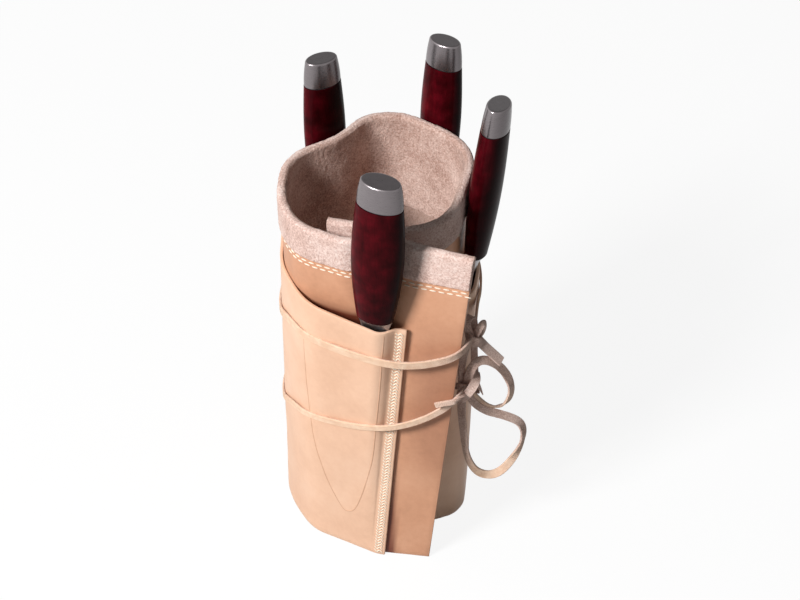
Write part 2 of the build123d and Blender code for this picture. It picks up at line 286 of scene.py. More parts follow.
def leather(name, deep, tone, pale):
    """Smooth leather: cloudy colour from the tanning, fine pores and a soft shine. Painted shade
    darkens it where the sheet's own shade layer says so."""
    made, tree, surface, place = new_finish(name, Specular_IOR_Level=0.35)
    clouds = pattern(tree, place, Scale=22, Detail=5, Roughness=0.6).outputs["Fac"]
    mottle = pattern(tree, place, Scale=260, Detail=4, Roughness=0.65).outputs["Fac"]
    pores = pattern(tree, place, "ShaderNodeTexVoronoi", Scale=1500).outputs["Distance"]
    colour = ramp(tree, added(tree, mottle, 0.35, clouds), ((0.45, deep), (0.68, tone), (0.9, pale)))
    painted_shade = node(tree, "ShaderNodeAttribute", attribute_name="painted_shade").outputs["Fac"]
    # Painted shade: the colour is multiplied towards dark brown where the sheet's shade layer is high.
    colour = mixed_colour(tree, painted_shade, colour, (0.22, 0.10, 0.08), "MULTIPLY")
    tree.links.new(colour, surface.inputs["Base Color"])
    tree.links.new(spread(tree, mottle, To_Min=0.42, To_Max=0.62), surface.inputs["Roughness"])
    bump(tree, added(tree, pores, 0.5, mottle), 0.12, 0.0006, surface)
    return made


def suede(name, deep, tone, pale, speckle):
    """Suede: a matt nap with light and dark strokes in it, and a fine speckle of fibres."""
    made, tree, surface, place = new_finish(
        name, Roughness=0.95, Specular_IOR_Level=0.15,
        Sheen_Weight=0.25, Sheen_Roughness=0.45, Sheen_Tint=(0.95, 0.82, 0.74, 1),
    )
    nap = pattern(tree, place, Scale=45, Detail=4, Roughness=0.6).outputs["Fac"]
    fibres = pattern(tree, place, Scale=speckle, Detail=3, Roughness=0.75).outputs["Fac"]
    strokes = added(tree, fibres, 1.8, nap)
    darker = spread(tree, strokes, From_Min=0.9, From_Max=1.4)
    lighter = spread(tree, strokes, From_Min=1.35, From_Max=1.8)
    colour = ramp(tree, darker, ((0.15, deep), (0.95, tone)))
    tree.links.new(mixed_colour(tree, lighter, colour, pale), surface.inputs["Base Color"])
    bump(tree, strokes, 0.55, 0.0007, surface)
    return made


def within_one(value):
    """A value held between 0 and 1."""
    return max(0, min(1, value))


def painted_shade_at(middle):
    """How much painted shade darkens the panel at a place, from 0 to 1: painted shade deep in the pockets,
    where the gape behind the mouth lies in shade, and painted shade on the free edge between the windings."""
    beside_seam = within_one((POCKET_SIDE - middle.x) / SHADE_FADE) if middle.y < FRONT else 1
    below_mouth = within_one((POCKET_SHADE_TOP - middle.z) / SHADE_FADE)
    # Painted shade in a band on the free edge, between the two windings.
    free_edge_shade = EDGE_SHADE_DEPTH * max(0, 1 - ((middle.z - EDGE_SHADE_HEIGHT) / EDGE_SHADE_REACH) ** 2)
    free_edge_shade *= within_one((middle.x - POCKET_SIDE) / EDGE_SHADE_START) * (middle.y < FREE_EDGE)
    return beside_seam * below_mouth + free_edge_shade


PANEL_LEVELS = [
    (height, bent_line(panel_corners(height), run_steps(PANEL_FOOT))) for height in PANEL_HEIGHTS
]
panel_section = leather_wall(PANEL_TOP, PANEL_ROWS)
# The panel's outer side carries painted shade in its pockets and between the windings.
panel = standing_sheet("rolled_leather", PANEL_LEVELS, panel_section, painted_shade=painted_shade_at)
round_edges(panel, LEATHER_EDGE, 2)
flesh_side = suede("flesh_side", (0.34, 0.21, 0.165), (0.50, 0.33, 0.27), (0.64, 0.46, 0.39), 800)
tan_leather = leather("tan_leather", (0.56, 0.275, 0.16), (0.65, 0.33, 0.196), (0.71, 0.38, 0.235))
panel.data.materials.append(tan_leather)
panel.data.materials.append(flesh_side)
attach(panel, "roll")
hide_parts("back_panel")


# The pocket panel: a second sheet of the same leather, laid outside the first and sewn to it at its
# edges, so that it stands off as a loose pocket round each knife. Its mouth slopes a little.
MOUTH_HEIGHT, MOUTH_SLOPE, POCKET_ROWS = 0.2002, 0.1, 50
POCKET_MOUTH_LEVEL = 0.201
POCKET_FOOT = (
    (0.0066, -0.0482), (0.0256, -0.049), (0.0421, -0.0424), (0.0486, -0.0335), (0.0525, 0.0008),
    (0.0505, 0.0388), (0.0397, 0.0531), (0.0157, 0.0693), (0.0053, 0.0723), (-0.0155, 0.0703),
    (-0.0298, 0.0625), (-0.0539, 0.0427), (-0.0691, 0.0268), (-0.0724, -0.0142), (-0.0652, -0.0363),
    (-0.0533, -0.0566), (-0.0164, -0.075), (-0.0108, -0.0783), (-0.0048, -0.0798),
)
POCKET_MOUTH = (
    (0.0056, -0.0484), (0.0246, -0.0482), (0.0386, -0.0439), (0.0522, -0.0324), (0.0571, -0.0025),
    (0.0548, 0.0368), (0.0465, 0.0624), (0.0225, 0.0786), (0.0046, 0.0732), (-0.0155, 0.0713),
    (-0.0318, 0.0696), (-0.0591, 0.055), (-0.0697, 0.0268), (-0.0705, -0.0165), (-0.0634, -0.0362),
    (-0.0521, -0.0548), (-0.0065, -0.0783), (0.0035, -0.071), (0.0099, -0.0724),
)
POCKET_LEVELS = [
    (height, bent_line(corners, run_steps(POCKET_FOOT)))
    for height, corners in ((0, POCKET_FOOT), (POCKET_MOUTH_LEVEL, POCKET_MOUTH))
]
pocket_section = leather_wall(MOUTH_HEIGHT, POCKET_ROWS)
pocket = standing_sheet("pocket_leather", POCKET_LEVELS, pocket_section, MOUTH_SLOPE, MOUTH_HEIGHT)
round_edges(pocket, LEATHER_EDGE, 2)
pale_leather = leather("pale_leather", (0.76, 0.465, 0.31), (0.83, 0.53, 0.365), (0.87, 0.585, 0.42))
pocket.data.materials.append(pale_leather)
pocket.data.materials.append(flesh_side)
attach(pocket, "roll")
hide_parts("pocket_panel")


# The suede flap: a soft split sewn to the panel's top edge, turned over the rim as a short cuff and
# hanging down inside as a lining. Its crest is thick, round and a little fuzzy.
SUEDE_NEAR, SUEDE_FAR, SUEDE_EDGE = 0.0012, 0.0031, 0.0007
CUFF_FOOT, CUFF_ROWS = 0.236, 8
LINING_FOOT, LINING_ROWS = 0.186, 24
CREST_FOOT, CREST_RISE, CREST_STEPS, CREST_FULLNESS = 0.2572, 0.0028, 14, 0.85
UNDERSIDE = 0.258
NAP_SIZE, NAP_DEPTH = 0.0018, 0.0009

crest = []
for step in range(1, CREST_STEPS):
    turn = math.pi * step / CREST_STEPS
    reach = math.copysign(abs(math.cos(turn)) ** CREST_FULLNESS, math.cos(turn))
    crest.append((SUEDE_FAR * reach, CREST_FOOT + CREST_RISE * math.sin(turn)))
flap_section = [
    *climb(SUEDE_FAR, CUFF_FOOT, CREST_FOOT, CUFF_ROWS), *crest,
    *reversed(climb(-SUEDE_FAR, LINING_FOOT, CREST_FOOT, LINING_ROWS)),
    *climb(-SUEDE_NEAR, LINING_FOOT, UNDERSIDE, LINING_ROWS),
    *reversed(climb(SUEDE_NEAR, CUFF_FOOT, UNDERSIDE, CUFF_ROWS)),
]
flap = standing_sheet("suede_turned_flap", PANEL_LEVELS, flap_section)
round_edges(flap, SUEDE_EDGE, 3)
finer = flap.modifiers.new("finer", "SUBSURF")
finer.subdivision_type = "SIMPLE"
finer.levels = finer.render_levels = 1
nap_texture = bpy.data.textures.new("nap", "CLOUDS")
nap_texture.noise_scale = NAP_SIZE
raised = flap.modifiers.new("raised nap", "DISPLACE")
raised.texture = nap_texture
raised.strength = NAP_DEPTH
pink_suede = suede("pink_suede", (0.48, 0.30, 0.245), (0.76, 0.54, 0.47), (0.98, 0.81, 0.74), 800)
# The lining is the same suede as the cuff, painted darker as painted shade inside the roll.
shaded_lining_suede = suede("shaded_lining_suede", (0.35, 0.195, 0.15), (0.58, 0.385, 0.32), (0.86, 0.66, 0.58), 800)
flap.data.materials.append(pink_suede)
flap.data.materials.append(shaded_lining_suede)
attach(flap, "roll")
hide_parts("suede_flap")


# The stitching: waxed cream thread. A double row of short staggered stitches runs round under the cuff,
# and a herringbone band of slanted stitches closes the pocket panel along its upright edge.
THREAD = 0.0009
THREAD_LIFT = LEATHER / 2 + THREAD / 6
STITCH_WANDER = 0.07
ROW_PITCH, ROW_STITCH = 0.0055, 0.0046
ROW_HEIGHTS = (0.2325, 0.2299)
BAND_PITCH, BAND_STITCH, BAND_SLANT = 0.0026, 0.0034, math.radians(42)
BAND_COLUMNS = ((0.0026, 1), (0.0045, -1), (0.0062, 1))
BAND_FOOT, BAND_RISE, BAND_STEPS = 0.003, 0.193, 60


def cream_thread():
    """Waxed thread, with darker lines where its plies lie against each other."""
    made, tree, surface, place = new_finish("cream_thread", Roughness=0.6)
    plies = pattern(tree, place, Scale=1800, Detail=2).outputs["Fac"]
    colour = ramp(tree, plies, ((0.3, (0.80, 0.66, 0.50)), (0.6, (0.93, 0.85, 0.73))))
    tree.links.new(colour, surface.inputs["Base Color"])
    bump(tree, plies, 0.3, 0.0003, surface)
    return made


def stitch_tree():
    """Geometry nodes that lay stitches along a line, flat on the leather that the line runs on."""
    tree = bpy.data.node_groups.new("stitches", "GeometryNodeTree")
    tree.interface.new_socket("Line", in_out="INPUT", socket_type="NodeSocketGeometry")
    for name in ("Pitch", "First stitch", "Stitch length", "Thread thickness", "Slant"):
        tree.interface.new_socket(name, in_out="INPUT", socket_type="NodeSocketFloat")
    tree.interface.new_socket("Thread", in_out="INPUT", socket_type="NodeSocketMaterial")
    tree.interface.new_socket("Stitches", in_out="OUTPUT", socket_type="NodeSocketGeometry")
    given, result = node(tree, "NodeGroupInput"), node(tree, "NodeGroupOutput")
    line = node(tree, "GeometryNodeMeshToCurve")
    spaced = node(tree, "GeometryNodeResampleCurve", mode="LENGTH")
    along = node(tree, "GeometryNodeInputTangent")
    shift = node(tree, "ShaderNodeVectorMath", operation="SCALE")
    moved = node(tree, "GeometryNodeSetPosition")
    outward = node(tree, "GeometryNodeInputNamedAttribute", data_type="FLOAT_VECTOR", Name="outward")
    lie = node(tree, "FunctionNodeAlignRotationToVector", axis="X")
    face = node(tree, "FunctionNodeAlignRotationToVector", axis="Z", pivot_axis="X")
    loose = node(tree, "FunctionNodeRandomValue", data_type="FLOAT", Seed=7)
    loose.inputs[2].default_value, loose.inputs[3].default_value = -STITCH_WANDER, STITCH_WANDER
    angle = node(tree, "ShaderNodeMath", operation="ADD")
    turned = node(tree, "ShaderNodeCombineXYZ")
    slanted = node(tree, "FunctionNodeRotateRotation", rotation_space="LOCAL")
    stitch = node(tree, "GeometryNodeMeshUVSphere", Segments=8, Rings=6, Radius=0.5)
    size = node(tree, "ShaderNodeCombineXYZ")
    laid = node(tree, "GeometryNodeInstanceOnPoints")
    real = node(tree, "GeometryNodeRealizeInstances")
    finish = node(tree, "GeometryNodeSetMaterial")
    for source, target in (
        (given.outputs["Line"], line.inputs["Mesh"]),
        (line.outputs["Curve"], spaced.inputs["Curve"]),
        (given.outputs["Pitch"], spaced.inputs["Length"]),
        (spaced.outputs["Curve"], moved.inputs["Geometry"]),
        (along.outputs["Tangent"], shift.inputs[0]),
        (given.outputs["First stitch"], shift.inputs["Scale"]),
        (shift.outputs["Vector"], moved.inputs["Offset"]),
        (along.outputs["Tangent"], lie.inputs["Vector"]),
        (lie.outputs["Rotation"], face.inputs["Rotation"]),
        (outward.outputs["Attribute"], face.inputs["Vector"]),
        (given.outputs["Slant"], angle.inputs[0]),
        (loose.outputs[1], angle.inputs[1]),
        (angle.outputs[0], turned.inputs["Z"]),
        (face.outputs["Rotation"], slanted.inputs["Rotation"]),
        (turned.outputs["Vector"], slanted.inputs["Rotate By"]),
        (given.outputs["Stitch length"], size.inputs["X"]),
        (given.outputs["Thread thickness"], size.inputs["Y"]),
        (given.outputs["Thread thickness"], size.inputs["Z"]),
        (moved.outputs["Geometry"], laid.inputs["Points"]),
        (stitch.outputs["Mesh"], laid.inputs["Instance"]),
        (slanted.outputs["Rotation"], laid.inputs["Rotation"]),
        (size.outputs["Vector"], laid.inputs["Scale"]),
        (laid.outputs["Instances"], real.inputs["Geometry"]),
        (real.outputs["Geometry"], finish.inputs["Geometry"]),
        (given.outputs["Thread"], finish.inputs["Material"]),
        (finish.outputs["Geometry"], result.inputs["Stitches"]),
    ):
        tree.links.new(source, target)
    return tree


def sewn(name, places, pitch, first_stitch, length, slant):
    """A row of stitches along places, each a point and its outward side, as a plain mesh."""
    mesh = bpy.data.meshes.new(name)
    mesh.from_pydata([point for point, _ in places], [(k, k + 1) for k in range(len(places) - 1)], [])
    outward = mesh.attributes.new("outward", "FLOAT_VECTOR", "POINT")
    for value, (_, side) in zip(outward.data, places):
        value.vector = side
    piece = bpy.data.objects.new(name, mesh)
    bpy.context.scene.collection.objects.link(piece)
    sewing = piece.modifiers.new("sewing", "NODES")
    sewing.node_group = stitches
    given = {
        "Pitch": pitch, "First stitch": first_stitch, "Stitch length": length,
        "Thread thickness": THREAD, "Slant": slant, "Thread": waxed,
    }
    for item in stitches.interface.items_tree:
        if item.name in given:
            sewing[item.identifier] = given[item.name]
    bpy.context.view_layer.update()
    shown = piece.evaluated_get(bpy.context.evaluated_depsgraph_get())
    piece.data = bpy.data.meshes.new_from_object(shown)
    piece.data.name = name
    piece.modifiers.remove(sewing)
    for face in piece.data.polygons:
        face.use_smooth = True
    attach(piece, "roll")


def from_edge(levels, distance, height, lift):
    """The place on a standing sheet at a distance from its outer upright edge, and its outward side."""
    walked = 0
    for number in range(len(levels[0][1]) - 1, 0, -1):
        (here, side), (after, next_side) = spot(levels, number, height), spot(levels, number - 1, height)
        step = (after - here).length
        if walked + step >= distance:
            share = (distance - walked) / step
            middle, outward = here.lerp(after, share), side.lerp(next_side, share).normalized()
            return middle + outward * (lift + soft(middle)), outward
        walked += step


stitches = stitch_tree()
waxed = cream_thread()
first = run_steps(PANEL_FOOT)[0] + ARC_STEPS
for number, height in enumerate(ROW_HEIGHTS):
    row = []
    for step in range(first, len(PANEL_LEVELS[0][1]) - 1):
        middle, outward = spot(PANEL_LEVELS, step, height)
        row.append((middle + outward * (THREAD_LIFT + soft(middle)), outward))
    sewn(f"cuff_stitches_{number + 1}", row, ROW_PITCH, ROW_PITCH / 2 * number, ROW_STITCH, 0.0)
for number, (place, way) in enumerate(BAND_COLUMNS):
    column = [
        from_edge(POCKET_LEVELS, place, BAND_FOOT + BAND_RISE * step / BAND_STEPS, THREAD_LIFT)
        for step in range(BAND_STEPS + 1)
    ]
    sewn(f"seam_stitches_{number + 1}", column, BAND_PITCH, 0.0, BAND_STITCH, BAND_SLANT * way)


# The pressed line: the blade standing in the front pocket has printed its outline through the leather, as
# a fine soft ridge up to the mouth. Places are distances from the seam edge and heights.
RIDGE_WIDTH, RIDGE_RISE, RIDGE_FADE = 0.0010, 0.00018, 6
RIDGE_SECTION = ((1, 0), (0.75, 0.55), (0.35, 1), (-0.35, 1), (-0.75, 0.55), (-1, 0))
OUTLINE_STEPS = 8
PRESSED_OUTLINE = (
    (0.0712, 0.172), (0.069, 0.152), (0.067, 0.136), (0.063, 0.114), (0.058, 0.09), (0.0515, 0.07),
    (0.0435, 0.05), (0.0335, 0.0335), (0.0285, 0.0315), (0.0235, 0.0365), (0.0188, 0.0555),
    (0.0148, 0.084), (0.0143, 0.104), (0.0144, 0.122), (0.0147, 0.153), (0.0155, 0.18), (0.0158, 0.199),
)


def through(points, steps):
    """A smooth line through its points."""
    padded = [points[0], *points, points[-1]]
    line = []
    for a, b, c, d in zip(padded, padded[1:], padded[2:], padded[3:]):
        for step in range(steps):
            t = step / steps
            line.append(tuple(
                q + 0.5 * t * (r - p + t * (2 * p - 5 * q + 4 * r - e + t * (3 * (q - r) + e - p)))
                for p, q, r, e in zip(a, b, c, d)
            ))
    return [*line, points[-1]]


def ridge(name, places):
    """A low rounded ridge on the pocket's face along places, with its foot in the leather."""
    made = bmesh.new()
    rings = []
    line = [from_edge(POCKET_LEVELS, distance, height, LEATHER / 2) for distance, height in places]
    last = len(line) - 1
    for number, (point, outward) in enumerate(line):
        along = (line[min(number + 1, last)][0] - line[max(number - 1, 0)][0]).normalized()
        across = along.cross(outward).normalized() * RIDGE_WIDTH / 2
        rise = min(1, number / RIDGE_FADE, (last - number) / RIDGE_FADE) * RIDGE_RISE
        rings.append([
            made.verts.new(point + across * wide + outward * (high * rise - RIDGE_RISE * (high == 0)))
            for wide, high in RIDGE_SECTION
        ])
    return skinned(name, made, rings)


pressed = ridge("pressed_outline", through(PRESSED_OUTLINE, OUTLINE_STEPS))
# Its leather is painted darker than the pocket's, as painted shade of the pressed line; the ridge's sides
# take real light from the lamps.
groove_shaded_leather = leather("groove_shaded_leather", (0.62, 0.36, 0.23), (0.72, 0.43, 0.28), (0.78, 0.49, 0.34))
pressed.data.materials.append(groove_shaded_leather)
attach(pressed, "roll")


# The lace: one flat thong, about 5 mm wide and 1.6 mm thick, smooth on its grain side and rough on its
# flesh side. It goes round the roll twice and is tied beside the free edge in two knots and a bow.
# Routes are measured from the place where it is tied; the crossings are a winding's heights at corners.
LACE_WIDTH, LACE_THICK, LACE_GAP = 0.0046, 0.0016, 0.0006
LACE_CORNER, LACE_EDGE_ANGLE = LACE_THICK * 0.22, math.radians(35)
LACE_UNEVEN, LACE_WAVES, TAPER_START, ROUTE_STEPS = 0.05, 120, 0.4, 12
TIED = Vector((0.05164, -0.06144, 0))
LAST_UNCROSSED = 2
UPPER_CROSSINGS = (
    0.178, 0.178, 0.177, 0.167, 0.154, 0.15, 0.151, 0.153, 0.155, 0.158, 0.162, 0.168, 0.176, 0.184,
)
LOWER_CROSSINGS = (
    0.118, 0.109, 0.103, 0.088, 0.077, 0.074, 0.075, 0.077, 0.079, 0.083, 0.089, 0.098, 0.11, 0.124,
)
UPPER_START = ((0, 0, 0.187), (-0.004, -0.021, 0.188), (-0.033, -0.0205, 0.177))
UPPER_FINISH = (0.001, 0.001, 0.185)
LOWER_START = ((-0.005, -0.003, 0.143), (-0.008, -0.022, 0.15), (-0.033, -0.0205, 0.128))
LOWER_FINISH = (-0.004, -0.001, 0.142)
UPPER_TAIL = ((0, -0.001, 0.187), (0.0045, -0.0015, 0.18), (0.011, -0.002, 0.1725), (0.018, -0.002, 0.164))
HANGING_END = ((0, -0.0015, 0.186), (0.0008, 0.005, 0.17), (0.0016, 0.0058, 0.15), (0.003, 0.0058, 0.129))
JOINING_STRAND = (
    (-0.001, -0.001, 0.187), (-0.005, -0.002, 0.174), (-0.0074, -0.0025, 0.16), (-0.0068, -0.003, 0.143),
)
UPPER_LOOP = (
    (-0.004, -0.003, 0.143), (-0.0022, -0.008, 0.1624), (0.004, -0.005, 0.1689), (0.013, -0.002, 0.164),
    (0.0215, 0.0045, 0.1485), (0.0265, 0.005, 0.134), (0.0235, 0.004, 0.121), (0.014, 0.001, 0.1195),
    (0.005, -0.0015, 0.127), (-0.004, -0.003, 0.142),
)
LOWER_LOOP = (
    (-0.005, -0.003, 0.143), (-0.001, -0.003, 0.131), (0.008, -0.0015, 0.12), (0.022, 0, 0.114),
    (0.0335, 0.0015, 0.106), (0.0355, 0.0025, 0.091), (0.029, 0.0025, 0.071), (0.018, 0.0015, 0.056),
    (0.005, -0.0005, 0.06), (-0.0025, -0.0025, 0.078), (-0.005, -0.004, 0.103), (-0.007, -0.0045, 0.127),
    (-0.006, -0.003, 0.142),
)
SHORT_END = (
    (-0.0052, -0.006, 0.142), (-0.0085, -0.0235, 0.1495), (-0.016, -0.0245, 0.1495),
    (-0.024, -0.0238, 0.1465),
)
POINTED_END = (
    (-0.002, -0.004, 0.148), (0.0004, -0.0065, 0.1525), (0.0032, -0.0075, 0.149),
    (0.0053, -0.0065, 0.1435), (0.0066, -0.0055, 0.1385),
)
ALL_ROUGH = ((0, (1,)), (1, (1,)))
WINDING_ROUGH = ((0, (1,)), (0.05, (0.6,)), (0.09, (0.2,)), (0.14, (0,)), (1, (0,)))
UPPER_LOOP_ROUGH = ((0, (1,)), (0.55, (0.9,)), (0.7, (0.1,)), (1, (0.3,)))
UPPER_LOOP_FACING = (
    (0, (-0.4, -0.8, 0)), (0.25, (-0.1, -0.75, 0.65)), (0.55, (0.8, -0.6, 0)),
    (0.75, (0.1, -0.6, -0.8)), (1, (-0.2, -1, 0)),
)
LOWER_LOOP_ROUGH = ((0, (1,)), (0.4, (1,)), (0.5, (0.2,)), (0.68, (0.05,)), (0.8, (0.8,)), (1, (1,)))
LOWER_LOOP_FACING = (
    (0, (-0.3, -1, 0)), (0.25, (0.2, -0.7, 0.7)), (0.42, (0.9, -0.5, 0.3)), (0.52, (0.1, -0.8, 0.5)),
    (0.68, (-0.3, -0.8, 0.5)), (0.8, (-0.7, -0.7, 0.2)), (1, (-0.3, -1, 0)),
)
UPPER_KNOT = (
    (
        ((-0.001, -0.002, 0.183), (-0.004, -0.004, 0.193), (-0.005, -0.0035, 0.2005),
         (-0.002, -0.001, 0.2025), (0, 0.001, 0.197), (0.0005, 0.001, 0.187)),
        ((0, (0, -1, 0.2)), (0.5, (0, -0.3, 1)), (1, (0, 1, 0))), 0.005,
    ),
    (
        ((0.001, -0.003, 0.187), (0.0038, -0.005, 0.197), (0.0066, -0.002, 0.198),
         (0.0072, 0.001, 0.19), (0.004, 0, 0.182), (0, -0.002, 0.182)),
        ((0, (-0.5, -0.5, 0.5)), (0.5, (1, -0.2, 0.2)), (1, (0.2, -0.5, -0.8))), 0.0046,
    ),
    (
        ((-0.005, 0.001, 0.19), (-0.004, -0.0052, 0.188), (0.001, -0.0066, 0.185),
         (0.005, -0.0035, 0.182), (0.0045, 0.001, 0.181)),
        ((0, (-1, -0.2, 0)), (0.5, (0, -1, 0.2)), (1, (1, 0, 0))), 0.0064,
    ),
)
LOWER_KNOT = (
    (
        ((-0.0065, 0.001, 0.136), (-0.0092, -0.0055, 0.136), (-0.0066, -0.0105, 0.1385),
         (-0.0002, -0.0105, 0.1485), (0.0028, -0.006, 0.1535), (0.002, 0.001, 0.1525)),
        ((0, (-1, -0.3, -0.3)), (0.5, (-0.1, -1, 0.15)), (1, (0.6, -0.2, 0.8))), 0.0062,
    ),
    (
        ((-0.011, -0.001, 0.142), (-0.0095, -0.0065, 0.146), (-0.005, -0.0078, 0.147),
         (-0.0005, -0.0045, 0.141), (-0.001, 0.001, 0.137)),
        ((0, (-1, -0.2, 0)), (0.5, (0, -1, 0.3)), (1, (1, 0, 0))), 0.0046,
    ),
)


def placed(points):
    """Route points measured from the place where the lace is tied, as points in the frame."""
    return [Vector(point) + TIED for point in points]


def crossing_points(crossings):
    """Where a winding bends round the pocket panel, held off its outer face."""
    reach = LEATHER / 2 + LACE_GAP + LACE_THICK / 2
    found = []
    for corner, height in zip(range(len(crossings) + LAST_UNCROSSED, LAST_UNCROSSED, -1), crossings):
        share = height / POCKET_MOUTH_LEVEL
        plan = [Vector(a).lerp(Vector(b), share) for a, b in zip(POCKET_FOOT, POCKET_MOUTH)]
        run_in, run_out = plan[corner] - plan[corner - 1], plan[corner + 1] - plan[corner]
        first_side = Vector((run_in.y, -run_in.x)).normalized()
        second_side = Vector((run_out.y, -run_out.x)).normalized()
        outward = (first_side + second_side) * reach / (1 + first_side.dot(second_side))
        found.append(Vector((*(plan[corner] + outward), height)))
    return found


def smooth_line(points):
    """Points of the smooth line that a lace takes along its route."""
    curve = bpy.data.curves.new("route", "CURVE")
    curve.dimensions = "3D"
    spline = curve.splines.new("NURBS")
    spline.points.add(len(points) - 1)
    for control, point in zip(spline.points, points):
        control.co = (*point, 1)
    spline.order_u = 3
    spline.use_endpoint_u = True
    curve.resolution_u = ROUTE_STEPS
    route = bpy.data.objects.new("route", curve)
    bpy.context.scene.collection.objects.link(route)
    bpy.context.view_layer.update()
    mesh = bpy.data.meshes.new_from_object(route.evaluated_get(bpy.context.evaluated_depsgraph_get()))
    line = [vertex.co.copy() for vertex in mesh.vertices]
    bpy.data.objects.remove(route)
    return line


def at_share(stops, share):
    """The value at a share of the way along, between stops of a share and a value."""
    for (low, before), (high, after) in zip(stops, stops[1:]):
        if share <= high:
            part = (share - low) / (high - low)
            return [a + (b - a) * part for a, b in zip(before, after)]
    return stops[-1][1]


def thong(name, line, facing, rough, width=LACE_WIDTH, tip=1):
    """A flat thong along a line. Facing is the direction of its grain side, and rough how far its flesh
    side shows, both as stops along it; tip is the share of its width that is left at its far end."""
    half, thick, corner = width / 2, LACE_THICK / 2, LACE_CORNER
    outline = (
        (half - corner, thick), (half, thick - corner), (half, corner - thick), (half - corner, -thick),
        (corner - half, -thick), (-half, corner - thick), (-half, thick - corner), (corner - half, thick),
    )
    made = bmesh.new()
    layer = made.verts.layers.float.new("rough")
    rings = []
    last = len(line) - 1
    for number, point in enumerate(line):
        share = number / last
        along = (line[min(number + 1, last)] - line[max(number - 1, 0)]).normalized()
        front = Vector(at_share(facing, share))
        front = (front - along * front.dot(along)).normalized()
        across = along.cross(front)
        slim = 1 + (tip - 1) * max(0, (share - TAPER_START) / (1 - TAPER_START))
        slim *= 1 + LACE_UNEVEN * noise.noise(point * LACE_WAVES)
        ring = []
        for wide, high in outline:
            vertex = made.verts.new(point + across * wide * slim + front * high)
            vertex[layer] = at_share(rough, share)[0] if high > 0 else 1
            ring.append(vertex)
        rings.append(ring)
    piece = skinned(name, made, rings)
    piece.data.set_sharp_from_angle(angle=LACE_EDGE_ANGLE)
    piece.data.materials.append(lace_finish)
    return piece


def lace_leather():
    """The lace's finish: smooth peach leather on its grain side, and pinkish suede where it is rough."""
    made = suede("lace_leather", (0.40, 0.25, 0.20), (0.70, 0.49, 0.41), (0.92, 0.74, 0.66), 1100)
    tree = made.node_tree
    base = tree.nodes["Principled BSDF"].inputs["Base Color"]
    rough_colour = base.links[0].from_socket
    side = node(tree, "ShaderNodeAttribute", attribute_name="rough").outputs["Fac"]
    place = node(tree, "ShaderNodeTexCoord").outputs["Object"]
    clouds = pattern(tree, place, Scale=180, Detail=4).outputs["Fac"]
    smooth = ramp(tree, clouds, ((0.35, (0.86, 0.57, 0.39)), (0.65, (0.96, 0.70, 0.51))))
    tree.links.new(mixed_colour(tree, side, smooth, rough_colour), base)
    return made


def tied(piece, node_name):
    """A piece of the lace rides on the roll in place of its solid."""
    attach(piece, "roll")
    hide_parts(node_name)
    return piece


def winding_sides(line):
    """The outward side of a winding, level and square to it, as stops along it."""
    stops = []
    last = len(line) - 1
    for number in range(len(line)):
        along = line[min(number + 1, last)] - line[max(number - 1, 0)]
        stops.append((number / last, (-along.y, along.x, 0)))
    return stops


def free_lace(name, points, facing, rough, node_name, width=LACE_WIDTH):
    """A stretch of the lace that is free over its length."""
    line = smooth_line(points)
    piece = thong(name, line, facing(line) if callable(facing) else facing, rough, width)
    tied(piece, node_name)


def knot(name, strands, node_name):
    """A tied knot: short bights of the lace, wrapped over and under each other, as one piece."""
    parts = []
    for points, facing, width in strands:
        parts.append(thong(name, smooth_line(placed(points)), facing, ALL_ROUGH, width))
    with bpy.context.temp_override(active_object=parts[0], selected_editable_objects=parts):
        bpy.ops.object.join()
    return tied(parts[0], node_name)


lace_finish = lace_leather()
tail_facing = ((0, (0.35, -0.75, 0.55)), (1, (0.5, -0.6, 0.62)))
tail = thong("upper_tail", smooth_line(placed(UPPER_TAIL)), tail_facing, ALL_ROUGH, 0.0064)
tied(tail, "lace_upper_tail")
pointed_facing = ((0, (0.6, -0.8, 0.2)), (1, (0.3, -0.9, 0.3)))
pointed = thong(
    "pointed_end", smooth_line(placed(POINTED_END)), pointed_facing, ALL_ROUGH, LACE_WIDTH * 0.8, tip=0.18,
)
tied(pointed, "lace_pointed_end")
upper_knot = knot("upper_knot", UPPER_KNOT, "lace_upper_knot")
lower_knot = knot("lower_knot", LOWER_KNOT, "lace_lower_knot")
upper_route = [*placed(UPPER_START), *crossing_points(UPPER_CROSSINGS), *placed([UPPER_FINISH])]
lower_route = [*placed(LOWER_START), *crossing_points(LOWER_CROSSINGS), *placed([LOWER_FINISH])]
free_lace(
    "upper_winding", upper_route, winding_sides, WINDING_ROUGH,
    "lace_upper_winding", width=0.0056,
)
free_lace(
    "lower_winding", lower_route, winding_sides, WINDING_ROUGH,
    "lace_lower_winding",
)
free_lace(
    "hanging_end", placed(HANGING_END), ((0, (0.3, -1, 0)), (1, (-0.3, -1, 0))), ALL_ROUGH,
    "lace_hanging_end",
)
free_lace(
    "joining_strand", placed(JOINING_STRAND), ((0, (-0.3, -1, 0)), (1, (0.2, -1, 0))), ALL_ROUGH,
    "lace_joining_strand",
)
free_lace(
    "upper_loop", placed(UPPER_LOOP), UPPER_LOOP_FACING, UPPER_LOOP_ROUGH,
    "lace_upper_loop", width=0.0058,
)
free_lace(
    "lower_loop", placed(LOWER_LOOP), LOWER_LOOP_FACING, LOWER_LOOP_ROUGH,
    "lace_lower_loop", width=0.0056,
)
free_lace(
    "short_end", placed(SHORT_END), ((0, (-0.5, -0.8, 0)), (0.4, (-0.1, -1, 0.1)), (1, (0, -1, 0.2))),
    ((0, (1,)), (1, (0.6,))), "lace_short_end", width=0.0038,
)


